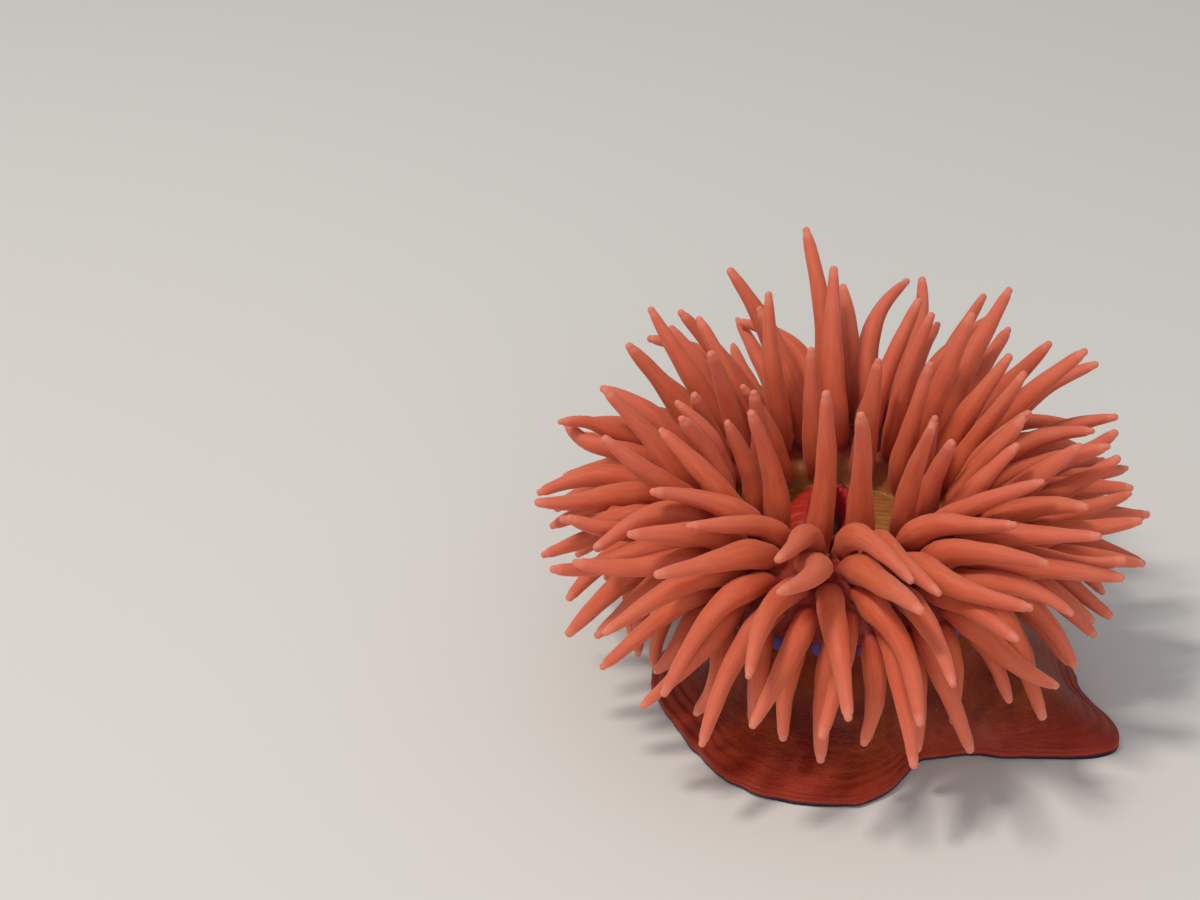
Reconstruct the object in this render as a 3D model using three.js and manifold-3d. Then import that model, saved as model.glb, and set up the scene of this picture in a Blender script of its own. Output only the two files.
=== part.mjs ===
// A beadlet anemone (Actinia equina) at life size, fully open: a broad foot, a low column, a collar with
// its beads, and a round crown of tentacles about an open mouth. Millimetres, +Z up, -Y is the front.
// The origin is on the sole, under the middle of the foot.
import * as THREE from "three";
import { mergeVertices } from "three/addons/utils/BufferGeometryUtils.js";
import Module from "manifold-3d";

// ---- Driving dimensions ----------------------------------------------------------------------------------

const GAP = 0.3; // air between two neighbouring pieces
const FOOT_RADIUS = 17.0; // of the pedal disc, before its lobes
const FOOT_LOBES = [
  // where the foot spreads or draws in: bearing and spread in degrees, growth in mm
  { bearing: 242, growth: 4.4, spread: 34 },
  { bearing: 195, growth: 2.8, spread: 20 },
  { bearing: 286, growth: -3.6, spread: 11 },
  { bearing: 303, growth: -3.2, spread: 13 },
  { bearing: 337, growth: 5.3, spread: 12 },
  { bearing: 62, growth: 1.4, spread: 28 },
  { bearing: 128, growth: 2.2, spread: 26 },
];
const FOOT_EDGE = 1.0; // height of the foot's rounded margin
const FOOT_TOP = 2.2; // where the foot passes into the column
const WAIST_HEIGHT = 7.0; // the parting between the two lengths of the column
const COLUMN_TOP = 11.0; // where the column meets the collar
const COLLAR_TOP = 12.5;
const WAIST_RADIUS = 12.6;
const COLLAR_RADIUS = 14.2;
const SKIRT_FALL = 2.9; // how quickly the foot's spread dies out with height
const CROWN_CENTRE = [-4.5, 0.2]; // the column leans, so the crown is not right over the foot
const CROWN_OVAL = [1.04, 0.97]; // the crown is a little wider than deep
const RIM_RADIUS = 11.6; // middle of the rim that bears the tentacles
const RIM_HEIGHT = 14.4;
const RIM_HALF = [4.9, 3.6]; // half width and half height of the rim's section
const RIM_FLOOR = COLLAR_TOP + GAP;
const RIM_OUTSIDE = -24; // where the rim's section, as a turn, begins on its outside and ends on its inside
const RIM_INSIDE = 172;
const DISC_RADIUS = 6.7; // the bare oral disc inside the rim
const MOUTH_RADIUS = 4.3; // outside of the lips
const MOUTH_ASIDE = -0.9; // the mouth lies a little to the left of the disc's middle
const MOUTH_OVAL = [0.86, 1.18];
const LIP_HEIGHT = 16.3;
const THROAT_RADIUS = 2.9;
const THROAT_OVAL = [0.5, 1.42]; // the throat is a slot between broad lips
const BEADS = 24; // acrorhagi under the tentacles
const BEAD_SWELL = 0.95; // how far they stand out

// The tentacles stand in six whorls, each parted into a few arcs. turn is where a whorl grows on the rim's
// section, from 0 on its outside over 90 on its crest, and first is how far past the front it begins. width
// is half a tentacle's thickness. length and rise, the way the tips point in degrees above the horizontal,
// are given at the back and at the front, because the crown tips forward. sharp is how soon the front's rise
// gives way to the back's, droop is what the left side hangs lower, and uneven is how unlike they are.
const WHORLS = [
  whorlOf({
    count: 12, arcs: 3, turn: 151, first: 17.5, width: 1.3,
    length: [13, 14], rise: [72, 80], sharp: 5, uneven: 0.6,
  }),
  whorlOf({
    count: 24, arcs: 3, turn: 114, first: 5, width: 1.35,
    length: [15, 12], rise: [66, 8], sharp: 3.5, uneven: 0.8,
  }),
  whorlOf({
    count: 24, arcs: 6, turn: 80, first: 7.5, width: 1.48,
    length: [16, 12.5], rise: [54, -4], sharp: 2, droop: 4,
  }),
  whorlOf({
    count: 36, arcs: 6, turn: 50, first: 0, width: 1.32,
    length: [14.5, 12.5], rise: [36, -22], sharp: 1.2, droop: 16,
  }),
  whorlOf({
    count: 36, arcs: 6, turn: 22, first: 5, width: 1.2,
    length: [12.5, 12], rise: [17, -52], droop: 22,
  }),
  whorlOf({
    count: 36, arcs: 6, turn: -6, first: 2.5, width: 1.12,
    length: [10.5, 9.5], rise: [-4, -84], droop: 24,
  }),
];
const PARTING = 26; // how far, in degrees, the tips turn away from the front and back to the sides
const BENT = { from: -0.25, by: 0.5 }; // the shares of the length between which a tentacle turns to its aim
const SHORTER = { left: 0.26, right: 0.26 }; // the share by which the tentacles are shorter at the sides
const UNEVEN = { heading: 19, rise: 17, sway: 0.3, curl: 0.9, length: 0.13 }; // in degrees and in shares
const FRONT = -90; // bearing of the front
const TIP_HALF_WIDTH = 0.43;

const STEPS = 16; // lengths that a tentacle's middle line is worked out in
const PRISM_SIDES = 5;
const PRISM_SWELL = 1.06; // so that a five-sided tentacle is as thick as a round one
const PRISM_STEPS = [0, 4, 9, 16]; // the ones that its faceted solid keeps
const SETTLING_ROUNDS = 120;
const EVENING = 0.12; // how much of a kink is smoothed out in one round

function whorlOf(own) {
  return { sharp: 1, droop: 0, uneven: 1, ...own };
}

const DEGREE = Math.PI / 180;
const wasm = await Module();
wasm.setup();

// ---- Small helpers ---------------------------------------------------------------------------------------

// An even, repeatable scatter from -1 to 1.
function scatter(index, salt) {
  const wave = Math.sin(index * 12.9898 + salt * 78.233) * 43758.5453;
  return 2 * (wave - Math.floor(wave)) - 1;
}

function smoothStep(low, high, value) {
  const t = Math.min(1, Math.max(0, (value - low) / (high - low)));
  return t * t * (3 - 2 * t);
}

function turnBetween(a, b) {
  return ((((a - b) % 360) + 540) % 360) - 180;
}

// ---- The body's shape ------------------------------------------------------------------------------------

function footRadius(bearing) {
  let radius = FOOT_RADIUS;
  for (const lobe of FOOT_LOBES) {
    const away = turnBetween(bearing, lobe.bearing) / lobe.spread;
    radius += lobe.growth * Math.exp(-away * away);
  }
  return radius;
}

function leanAt(height) {
  const share = smoothStep(0, COLUMN_TOP, height);
  return [CROWN_CENTRE[0] * share, CROWN_CENTRE[1] * share];
}

// The column's radius about its leaning axis.
function columnRadius(height, bearing) {
  const spread = footRadius(bearing) - WAIST_RADIUS;
  const skirt = spread * Math.exp(-Math.max(0, height - FOOT_EDGE) / SKIRT_FALL);
  const flare = (COLLAR_RADIUS - WAIST_RADIUS) * smoothStep(6, COLLAR_TOP, height);
  return WAIST_RADIUS + skirt + flare;
}

function rimPoint(turn) {
  const a = turn * DEGREE;
  return [RIM_RADIUS + RIM_HALF[0] * Math.cos(a), RIM_HEIGHT + RIM_HALF[1] * Math.sin(a)];
}

// From a place about the crown's own axis to the part's frame.
function inCrown(radius, bearing, height) {
  const a = bearing * DEGREE;
  return new THREE.Vector3(
    CROWN_CENTRE[0] + CROWN_OVAL[0] * radius * Math.cos(a),
    CROWN_CENTRE[1] + CROWN_OVAL[1] * radius * Math.sin(a),
    height,
  );
}

// ---- The tentacles' middle lines --------------------------------------------------------------------------

// Half the width of a tentacle at a share of its length: drawn in at the root, fullest soon after it, then an
// almost even taper to a small knob at the tip.
function halfWidthAt(halfWidth, share) {
  const taper = TIP_HALF_WIDTH + (halfWidth - TIP_HALF_WIDTH) * (1 - Math.pow(share, 1.05));
  return taper * (0.8 + 0.2 * smoothStep(0, 0.22, share));
}

function blend([back, front], nearness) {
  return back + (front - back) * nearness;
}

function growTentacle(whorl, place, number) {
  const { count, turn, first, width, length, rise, sharp, droop, uneven } = WHORLS[whorl];
  const bearing = FRONT + first + (360 * place) / count;
  const nearness = 0.5 - 0.5 * Math.sin(bearing * DEGREE);
  const leftness = Math.pow(Math.max(0, -Math.cos(bearing * DEGREE)), 2);
  const rightness = Math.pow(Math.max(0, Math.cos(bearing * DEGREE)), 2);
  const [radius, height] = rimPoint(turn);
  const root = inCrown(radius, bearing, height);
  const a = bearing * DEGREE;
  const outward = [Math.cos(turn * DEGREE) / RIM_HALF[0], Math.sin(turn * DEGREE) / RIM_HALF[1]];
  const normal = new THREE.Vector3(
    (outward[0] * Math.cos(a)) / CROWN_OVAL[0],
    (outward[0] * Math.sin(a)) / CROWN_OVAL[1],
    outward[1],
  ).normalize();

  // The tips part to the left and right of the front.
  const parted = bearing + PARTING * Math.sin(2 * (bearing + 90) * DEGREE);
  const heading = (parted + UNEVEN.heading * uneven * scatter(number, 2)) * DEGREE;
  const highest = blend(rise, Math.pow(nearness, sharp)) - droop * leftness;
  const lift = (highest + UNEVEN.rise * uneven * scatter(number, 3)) * DEGREE;
  const aim = new THREE.Vector3(
    Math.cos(lift) * Math.cos(heading),
    Math.cos(lift) * Math.sin(heading),
    Math.sin(lift),
  );
  const side = new THREE.Vector3(-Math.sin(heading), Math.cos(heading), 0);
  const sway = UNEVEN.sway * uneven * scatter(number, 4);
  const curl = UNEVEN.curl * uneven * Math.pow(scatter(number, 5), 3);
  const dip = UNEVEN.curl * uneven * Math.pow(scatter(number, 7), 3);
  const shorter = 1 - SHORTER.left * leftness - SHORTER.right * rightness;
  const full = blend(length, nearness) * shorter * (1 + UNEVEN.length * scatter(number, 6));
  const step = full / STEPS;

  const line = [root.clone()];
  for (let k = 1; k <= STEPS; k++) {
    const share = (k - 0.5) / STEPS;
    const bent = smoothStep(BENT.from, BENT.by, share);
    const way = normal.clone().multiplyScalar(1 - bent).addScaledVector(aim, bent);
    way.addScaledVector(side, sway * Math.sin(2 * Math.PI * share) + curl * smoothStep(0.5, 1, share));
    way.z += dip * smoothStep(0.5, 1, share);
    line.push(line[k - 1].clone().addScaledVector(way.normalize(), step));
  }
  return { whorl, place, bearing, normal, halfWidth: width, step, line };
}

// Tentacles that would pass through one another, the body or the floor are pushed apart, a little at a time.
function settle(tentacles) {
  const widths = tentacles.map((t) => t.line.map((_, k) => halfWidthAt(t.halfWidth, k / STEPS)));
  for (let round = 0; round < SETTLING_ROUNDS; round++) {
    const pushes = tentacles.map((t) => t.line.map(() => new THREE.Vector3()));
    for (let i = 0; i < tentacles.length; i++) {
      for (let j = i + 1; j < tentacles.length; j++) {
        if (tentacles[i].line[8].distanceTo(tentacles[j].line[8]) > 22) continue;
        for (let k = 2; k <= STEPS; k++) {
          const from = tentacles[i].line[k];
          for (let l = 2; l <= STEPS; l++) {
            const to = tentacles[j].line[l];
            const room = widths[i][k] + widths[j][l] + 1.15 * GAP;
            const dx = from.x - to.x;
            const dy = from.y - to.y;
            const dz = from.z - to.z;
            const square = dx * dx + dy * dy + dz * dz;
            if (square >= room * room) continue;
            const away = Math.sqrt(square) + 1e-9;
            const push = (0.5 * (room - away)) / away;
            pushes[i][k].x += dx * push;
            pushes[i][k].y += dy * push;
            pushes[i][k].z += dz * push;
            pushes[j][l].x -= dx * push;
            pushes[j][l].y -= dy * push;
            pushes[j][l].z -= dz * push;
          }
        }
      }
    }
    tentacles.forEach((t, i) => {
      t.line.forEach((point, k) => keepClear(point, widths[i][k], pushes[i][k]));
      bendBy(t, pushes[i]);
    });
  }
}

// Adds the push that keeps a point of a tentacle out of the column and off the floor.
function keepClear(point, halfWidth, push) {
  const room = halfWidth + 2 * GAP;
  if (point.z < room) push.z += room - point.z;
  if (point.z > COLLAR_TOP + 0.5) return;
  const [leanX, leanY] = leanAt(point.z);
  const x = point.x - leanX;
  const y = point.y - leanY;
  const radius = Math.hypot(x, y);
  const bearing = Math.atan2(y, x) / DEGREE;
  const wall = columnRadius(point.z - 0.7 * halfWidth, bearing) + room + 0.6;
  if (radius >= wall) return;
  push.x += (0.5 * x * (wall - radius)) / radius;
  push.y += (0.5 * y * (wall - radius)) / radius;
}

// Moves a tentacle by its pushes, spread along it, and keeps it even, its length and its root.
function bendBy(tentacle, pushes) {
  const { line, step } = tentacle;
  const moves = line.map((point, k) => {
    const before = Math.max(0, k - 1);
    const after = Math.min(STEPS, k + 1);
    const move = pushes[k].clone().multiplyScalar(0.3);
    move.addScaledVector(pushes[before], 0.15).addScaledVector(pushes[after], 0.15);
    if (k === STEPS) return move;
    const middle = line[before].clone().add(line[after]).multiplyScalar(0.5);
    return move.addScaledVector(middle.sub(point), EVENING);
  });
  for (let k = 2; k <= STEPS; k++) line[k].add(moves[k]);
  for (let k = 2; k <= STEPS; k++) {
    const way = line[k].clone().sub(line[k - 1]).normalize();
    line[k].copy(line[k - 1]).addScaledVector(way, step);
  }
}

function growAll() {
  const tentacles = [];
  WHORLS.forEach(({ count }, whorl) => {
    for (let place = 0; place < count; place++) tentacles.push(growTentacle(whorl, place, tentacles.length));
  });
  settle(tentacles);
  return tentacles;
}

// ---- Solids ----------------------------------------------------------------------------------------------

function solidOf(geometry) {
  geometry.deleteAttribute("normal");
  geometry.deleteAttribute("uv");
  const merged = mergeVertices(geometry, 1e-4);
  return new wasm.Manifold(
    new wasm.Mesh({
      numProp: 3,
      vertProperties: new Float32Array(merged.attributes.position.array),
      triVerts: new Uint32Array(merged.index.array),
    }),
  );
}

function geometryOf(solid) {
  const { vertProperties, triVerts, numProp } = solid.getMesh();
  const geometry = new THREE.BufferGeometry();
  geometry.setAttribute("position", new THREE.BufferAttribute(new Float32Array(vertProperties), numProp));
  geometry.setIndex(new THREE.BufferAttribute(new Uint32Array(triVerts), 1));
  geometry.computeVertexNormals();
  return geometry;
}

// A turned solid about +Z, from [radius, height] pairs, that reshape(x, y, z) then moves point by point.
function turned(profile, segments, reshape) {
  const points = profile.map(([radius, height]) => new THREE.Vector2(radius, height));
  const geometry = new THREE.LatheGeometry(points, segments).rotateX(Math.PI / 2);
  const place = geometry.attributes.position;
  for (let i = 0; i < place.count; i++) {
    place.setXYZ(i, ...reshape(place.getX(i), place.getY(i), place.getZ(i)));
  }
  return solidOf(geometry);
}

// One length of the foot and column, from [height, inset] pairs: the inset is how far in from the wall it
// lies.
function columnLength(levels, segments) {
  const low = levels[0][0];
  const high = levels[levels.length - 1][0];
  const profile = [[0, low], ...levels.map(([height]) => [1, height]), [0, high]];
  return turned(profile, segments, (x, y, z) => {
    const [leanX, leanY] = leanAt(z);
    if (Math.hypot(x, y) < 1e-6) return [leanX, leanY, z];
    const [, inset] = levels.find(([height]) => Math.abs(height - z) < 1e-3);
    const bearing = Math.atan2(y, x) / DEGREE;
    const radius = columnRadius(z, bearing) - inset;
    return [leanX + radius * Math.cos(bearing * DEGREE), leanY + radius * Math.sin(bearing * DEGREE), z];
  });
}

// Where the rim's section is parted below a whorl: halfway to its outer neighbour.
function partingTurn(whorl) {
  return (WHORLS[whorl].turn + WHORLS[whorl + 1].turn) / 2;
}

// A point of the rim's section near a parting, less half the gap.
function besideParting(turn, way) {
  const a = turn * DEGREE;
  const speed = Math.hypot(RIM_HALF[0] * Math.sin(a), RIM_HALF[1] * Math.cos(a));
  return rimPoint(turn + (way * GAP) / 2 / speed / DEGREE);
}

// The section of the part of the rim that one whorl grows from. Its first edge bears the tentacles.
function whorlSection(whorl) {
  const core = GAP / 2;
  if (whorl === 0) {
    const inside = [RIM_RADIUS - core, RIM_HEIGHT - core];
    const bearer = [besideParting(partingTurn(0), 1), rimPoint(RIM_INSIDE)];
    return [...bearer, [DISC_RADIUS, RIM_FLOOR], [RIM_RADIUS - core, RIM_FLOOR], inside];
  }
  const high = besideParting(partingTurn(whorl - 1), -1);
  if (whorl === WHORLS.length - 1) {
    const outside = [RIM_RADIUS + core, RIM_HEIGHT - core];
    return [rimPoint(RIM_OUTSIDE), high, outside, [RIM_RADIUS + core, RIM_FLOOR]];
  }
  const low = besideParting(partingTurn(whorl), 1);
  const lowWay = Math.atan2(low[1] - RIM_HEIGHT, low[0] - RIM_RADIUS);
  const highWay = Math.atan2(high[1] - RIM_HEIGHT, high[0] - RIM_RADIUS);
  const reach = GAP / Math.sin((highWay - lowWay) / 2);
  const middle = (highWay + lowWay) / 2;
  return [low, high, [RIM_RADIUS + reach * Math.cos(middle), RIM_HEIGHT + reach * Math.sin(middle)]];
}

// How far a root may reach without leaving its place on the rim.
function rootRoom(whorl) {
  const [low, high] = whorlSection(whorl);
  const tall = Math.hypot(high[0] - low[0], high[1] - low[1]) / 2;
  const wide = (CROWN_OVAL[1] * Math.PI * Math.min(low[0], high[0])) / WHORLS[whorl].count - GAP / 2;
  return 0.9 * Math.min(tall, wide);
}

// Rings of points round a tentacle's middle line, the first on the rim's surface.
function tentacleRings({ whorl, line, normal, halfWidth }) {
  const across = new THREE.Vector3(0, 0, 1).cross(normal).normalize();
  return PRISM_STEPS.map((k) => {
    const before = line[Math.max(0, k - 1)];
    const after = line[Math.min(STEPS, k + 1)];
    const along = k === 0 ? normal.clone() : after.clone().sub(before).normalize();
    across.addScaledVector(along, -across.dot(along)).normalize();
    const over = along.clone().cross(across);
    const round = PRISM_SWELL * halfWidthAt(halfWidth, k / STEPS) * (k === STEPS ? 0.75 : 1);
    const reach = k === 0 ? Math.min(round, rootRoom(whorl)) : round;
    const ring = [];
    for (let s = 0; s < PRISM_SIDES; s++) {
      const a = (2 * Math.PI * (s + 0.5)) / PRISM_SIDES;
      const point = line[k].clone().addScaledVector(across, reach * Math.cos(a));
      ring.push(point.addScaledVector(over, reach * Math.sin(a)));
    }
    return ring;
  });
}

// Triangles between two rings of points that both run round the same way about a root.
function stitched(outer, inner, middle, across, over) {
  const bearingOf = (point) => {
    const d = point.clone().sub(middle);
    return Math.atan2(d.dot(over), d.dot(across));
  };
  const inOrder = (ring) => ring.map((p) => [bearingOf(p), p]).sort((p, q) => p[0] - q[0]);
  const [far, near] = [inOrder(outer), inOrder(inner)];
  const at = (ring, i) => ring[i % ring.length][0] + (i >= ring.length ? 2 * Math.PI : 0);
  const triangles = [];
  let [i, j] = [0, 0];
  while (i < far.length || j < near.length) {
    const [p, q] = [far[i % far.length][1], near[j % near.length][1]];
    if (j >= near.length || (i < far.length && at(far, i + 1) < at(near, j + 1))) {
      i += 1;
      triangles.push([p, far[i % far.length][1], q]);
    } else {
      j += 1;
      triangles.push([p, near[j % near.length][1], q]);
    }
  }
  return triangles;
}

// One arc of a whorl: its length of the rim, closed at both ends, with its tentacles rising out of it.
function whorlArc(whorl, own) {
  const section = whorlSection(whorl);
  const half = 180 / WHORLS[whorl].count;
  const triangles = [];
  const quad = (a, b, c, d) => triangles.push([a, b, c], [a, c, d]);
  const cut = (t, way, isEnd) =>
    section.map(([radius, height]) => {
      const shy = isEnd ? GAP / 2 / radius / DEGREE : 0;
      return inCrown(radius, t.bearing + way * (half - shy), height);
    });

  own.forEach((t, i) => {
    const from = cut(t, -1, i === 0);
    const to = cut(t, 1, i === own.length - 1);
    for (let edge = 1; edge < section.length; edge++) {
      const next = (edge + 1) % section.length;
      quad(from[edge], to[edge], to[next], from[next]);
    }
    const rings = tentacleRings(t);
    const across = new THREE.Vector3(0, 0, 1).cross(t.normal).normalize();
    const over = t.normal.clone().cross(across);
    triangles.push(...stitched([from[0], to[0], to[1], from[1]], rings[0], t.line[0], across, over));
    for (let r = 0; r + 1 < rings.length; r++) {
      for (let s = 0; s < PRISM_SIDES; s++) {
        const next = (s + 1) % PRISM_SIDES;
        quad(rings[r][s], rings[r][next], rings[r + 1][next], rings[r + 1][s]);
      }
    }
    const tip = rings[rings.length - 1];
    for (let s = 1; s + 1 < PRISM_SIDES; s++) triangles.push([tip[0], tip[s], tip[s + 1]]);
    for (let corner = 1; corner + 1 < section.length; corner++) {
      if (i === 0) triangles.push([from[0], from[corner], from[corner + 1]]);
      if (i === own.length - 1) triangles.push([to[0], to[corner + 1], to[corner]]);
    }
  });
  const positions = triangles.flat().flatMap((p) => [p.x, p.y, p.z]);
  const geometry = new THREE.BufferGeometry();
  geometry.setAttribute("position", new THREE.Float32BufferAttribute(positions, 3));
  return solidOf(geometry);
}

// ---- The pieces ------------------------------------------------------------------------------------------

function paint(colour, roughness) {
  return new THREE.MeshStandardMaterial({ color: new THREE.Color(colour), roughness, metalness: 0 });
}

const PAINT = {
  foot: paint("#7d1f12", 0.45),
  column: paint("#6b2412", 0.4),
  collar: paint("#8a2a18", 0.45),
  disc: paint("#8c6a2c", 0.5),
  mouth: paint("#a01c12", 0.4),
  tentacle: paint("#c4563c", 0.5),
};

const anemone = new THREE.Group();
const crown = new THREE.Group();
anemone.add(crown);

function addPiece(name, solid, material, group = anemone) {
  const mesh = new THREE.Mesh(geometryOf(solid), material);
  mesh.name = name;
  group.add(mesh);
}

function pedalDisc() {
  return columnLength([[0, 0.35], [0.45, 0], [FOOT_EDGE, 0.15], [FOOT_TOP, 0]], 60);
}

// The collar's outer edge is drawn out into a row of beads.
function collarWithBeads() {
  const sole = COLUMN_TOP + GAP;
  const middle = (sole + COLLAR_TOP) / 2;
  const profile = [[0, sole], [1, sole], [1, middle], [1, COLLAR_TOP], [0, COLLAR_TOP]];
  return turned(profile, 2 * BEADS, (x, y, z) => {
    if (Math.hypot(x, y) < 1e-6) return [...CROWN_CENTRE, z];
    const bearing = Math.atan2(y, x);
    const isMiddle = Math.abs(z - middle) < 1e-3;
    const swell = isMiddle ? BEAD_SWELL * (0.5 + 0.5 * Math.cos(BEADS * bearing)) : 0;
    const radius = COLLAR_RADIUS + swell - (z > middle + 1e-3 ? 0.4 : 0);
    return [CROWN_CENTRE[0] + radius * Math.cos(bearing), CROWN_CENTRE[1] + radius * Math.sin(bearing), z];
  });
}

// The bare disc, a ring between the rim and the lips.
function oralDisc() {
  const inside = MOUTH_RADIUS + GAP;
  const outside = DISC_RADIUS * Math.cos(Math.PI / WHORLS[0].count) - GAP;
  const profile = [
    [inside, RIM_FLOOR],
    [outside, RIM_FLOOR],
    [outside, 15.2],
    [inside, 15.0],
    [inside, RIM_FLOOR],
  ];
  return turned(profile, 28, (x, y, z) => {
    const share = (Math.hypot(x, y) - inside) / (outside - inside);
    const ovalX = blend([MOUTH_OVAL[0], CROWN_OVAL[0]], share);
    const ovalY = blend([MOUTH_OVAL[1], CROWN_OVAL[1]], share);
    const middle = CROWN_CENTRE[0] + MOUTH_ASIDE * (1 - share);
    return [middle + ovalX * x, CROWN_CENTRE[1] + ovalY * y, z];
  });
}

function mouthWithThroat() {
  const profile = [
    [0, RIM_FLOOR],
    [MOUTH_RADIUS, RIM_FLOOR],
    [MOUTH_RADIUS, 15.1],
    [3.9, 16.0],
    [3.3, LIP_HEIGHT],
    [THROAT_RADIUS, 15.9],
    [2.3, RIM_FLOOR + 0.9],
    [0, RIM_FLOOR + 0.6],
  ];
  return turned(profile, 24, (x, y, z) => {
    const share = Math.min(1, (MOUTH_RADIUS - Math.hypot(x, y)) / (MOUTH_RADIUS - THROAT_RADIUS));
    const ovalX = blend([MOUTH_OVAL[0], THROAT_OVAL[0]], share);
    const ovalY = blend([MOUTH_OVAL[1], THROAT_OVAL[1]], share);
    return [CROWN_CENTRE[0] + MOUTH_ASIDE + ovalX * x, CROWN_CENTRE[1] + ovalY * y, z];
  });
}

addPiece("pedal_disc", pedalDisc(), PAINT.foot);
const LOWER_LENGTH = [[FOOT_TOP + GAP, 0], [4.4, 0], [WAIST_HEIGHT, 0]];
const UPPER_LENGTH = [[WAIST_HEIGHT + GAP, 0], [9.2, 0], [COLUMN_TOP, 0]];
addPiece("column_lower", columnLength(LOWER_LENGTH, 48), PAINT.column);
addPiece("column_upper", columnLength(UPPER_LENGTH, 36), PAINT.column);
addPiece("collar", collarWithBeads(), PAINT.collar);
addPiece("oral_disc", oralDisc(), PAINT.disc);
addPiece("mouth", mouthWithThroat(), PAINT.mouth);

const tentacles = growAll();
WHORLS.forEach(({ count, arcs }, whorl) => {
  const perArc = count / arcs;
  for (let arc = 0; arc < arcs; arc++) {
    const own = tentacles.filter((t) => t.whorl === whorl && Math.floor(t.place / perArc) === arc);
    addPiece(`whorl_${whorl + 1}_arc_${arc + 1}`, whorlArc(whorl, own), PAINT.tentacle, crown);
  }
});

export default anemone;
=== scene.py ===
# %% [markdown]
# # A beadlet anemone, wide open
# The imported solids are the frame: their size and place stay as they are. Here the animal gets its soft skin,
# its colours, a floor, lights and a camera. Everything is in metres, with +Z up and -Y to the front.

# %% Load the frame
import math

import bpy
import numpy as np
from mathutils import Color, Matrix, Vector


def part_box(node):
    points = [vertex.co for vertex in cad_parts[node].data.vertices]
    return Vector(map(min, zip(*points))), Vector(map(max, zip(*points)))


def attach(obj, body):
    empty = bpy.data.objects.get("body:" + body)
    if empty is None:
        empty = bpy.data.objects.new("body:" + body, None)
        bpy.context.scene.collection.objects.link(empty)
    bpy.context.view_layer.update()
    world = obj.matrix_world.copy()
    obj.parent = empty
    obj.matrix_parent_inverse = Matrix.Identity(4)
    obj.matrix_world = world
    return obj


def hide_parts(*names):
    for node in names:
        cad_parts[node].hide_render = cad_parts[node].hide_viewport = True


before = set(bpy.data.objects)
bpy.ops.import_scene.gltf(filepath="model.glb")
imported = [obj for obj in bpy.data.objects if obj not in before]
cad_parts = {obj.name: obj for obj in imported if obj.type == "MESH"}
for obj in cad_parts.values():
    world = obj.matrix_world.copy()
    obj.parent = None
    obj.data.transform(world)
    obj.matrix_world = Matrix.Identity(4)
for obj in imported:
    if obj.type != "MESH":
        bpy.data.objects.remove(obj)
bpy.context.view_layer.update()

MM = 0.001


def add_object(name, data):
    made = bpy.data.objects.new(name, data)
    bpy.context.scene.collection.objects.link(made)
    return made


# %% [markdown]
# ## The camera
# A small animal is seen best from close by and a little above, as one looks down into a rock pool. The foot
# should fall right of the frame's middle and below it, so the camera turns a little to the left and up from
# the line to the foot. How far is worked out from where the middle of the foot should fall.

# %% Place the camera
FRAME_SIZE = (1200, 900)
FOOT_IN_FRAME = (880, 671)  # where the middle of the sole falls, from the top left
VIEW_ELEVATION = math.radians(35.5)
VIEW_DISTANCE = 210 * MM
LENS, SENSOR = 70.0, 36.0

pixels_per_slope = LENS / SENSOR * FRAME_SIZE[0]
right_slope = (FOOT_IN_FRAME[0] - FRAME_SIZE[0] / 2) / pixels_per_slope
up_slope = -(FOOT_IN_FRAME[1] - FRAME_SIZE[1] / 2) / pixels_per_slope
ray_length = math.sqrt(1 + right_slope**2 + up_slope**2)
steepness = ray_length * math.sin(VIEW_ELEVATION) / math.sqrt(1 + up_slope**2)
pitch_down = math.asin(steepness) + math.atan(up_slope)
turn_left = math.atan(right_slope / (math.cos(pitch_down) + up_slope * math.sin(pitch_down)))

camera_data = bpy.data.cameras.new("camera")
camera_data.lens, camera_data.sensor_width = LENS, SENSOR
camera_data.clip_start, camera_data.clip_end = 0.01, 10.0
camera = add_object("camera", camera_data)
camera.location = (0, -VIEW_DISTANCE * math.cos(VIEW_ELEVATION), VIEW_DISTANCE * math.sin(VIEW_ELEVATION))
camera.rotation_euler = (math.pi / 2 - pitch_down, 0, turn_left)
bpy.context.scene.camera = camera
angles = [round(math.degrees(angle), 2) for angle in (pitch_down, turn_left)]
print("camera, degrees down and to the left", angles)

# %% [markdown]
# ## The shape's driving dimensions
# The skin has to lie where the solids lie, so it is worked out from the same few dimensions, here still in
# millimetres: a foot with lobes, a leaning column, and a rim that carries the tentacles. The rim is a ring
# with a rounded section, because a real anemone's tentacles grow from its inside, crest and outside.

# %% Dimensions of the body
FOOT_RADIUS = 17.0
FOOT_LOBES = [  # bearing in degrees, growth in mm, spread in degrees
    (242, 4.4, 34),
    (195, 2.8, 20),
    (286, -3.6, 11),
    (303, -3.2, 13),
    (337, 5.3, 12),
    (62, 1.4, 28),
    (128, 2.2, 26),
]
FOOT_EDGE = 1.0
COLUMN_TOP = 11.0
COLLAR_TOP = 12.5
WAIST_RADIUS = 12.6
COLLAR_RADIUS = 14.2
SKIRT_FALL = 2.9
CROWN_CENTRE = (-4.5, 0.2)
CROWN_OVAL = (1.04, 0.97)
RIM_RADIUS = 11.6
RIM_HEIGHT = 14.4
RIM_HALF = (4.9, 3.6)
RIM_OUTSIDE, RIM_INSIDE = -24, 172
MOUTH_RADIUS = 4.3
MOUTH_ASIDE = -0.9
MOUTH_OVAL = (0.86, 1.18)
LIP_HEIGHT = 16.3
THROAT_RADIUS = 2.9
THROAT_OVAL = (0.5, 1.42)
BEADS = 24
BEAD_SWELL = 0.95
FRONT = -90


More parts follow.
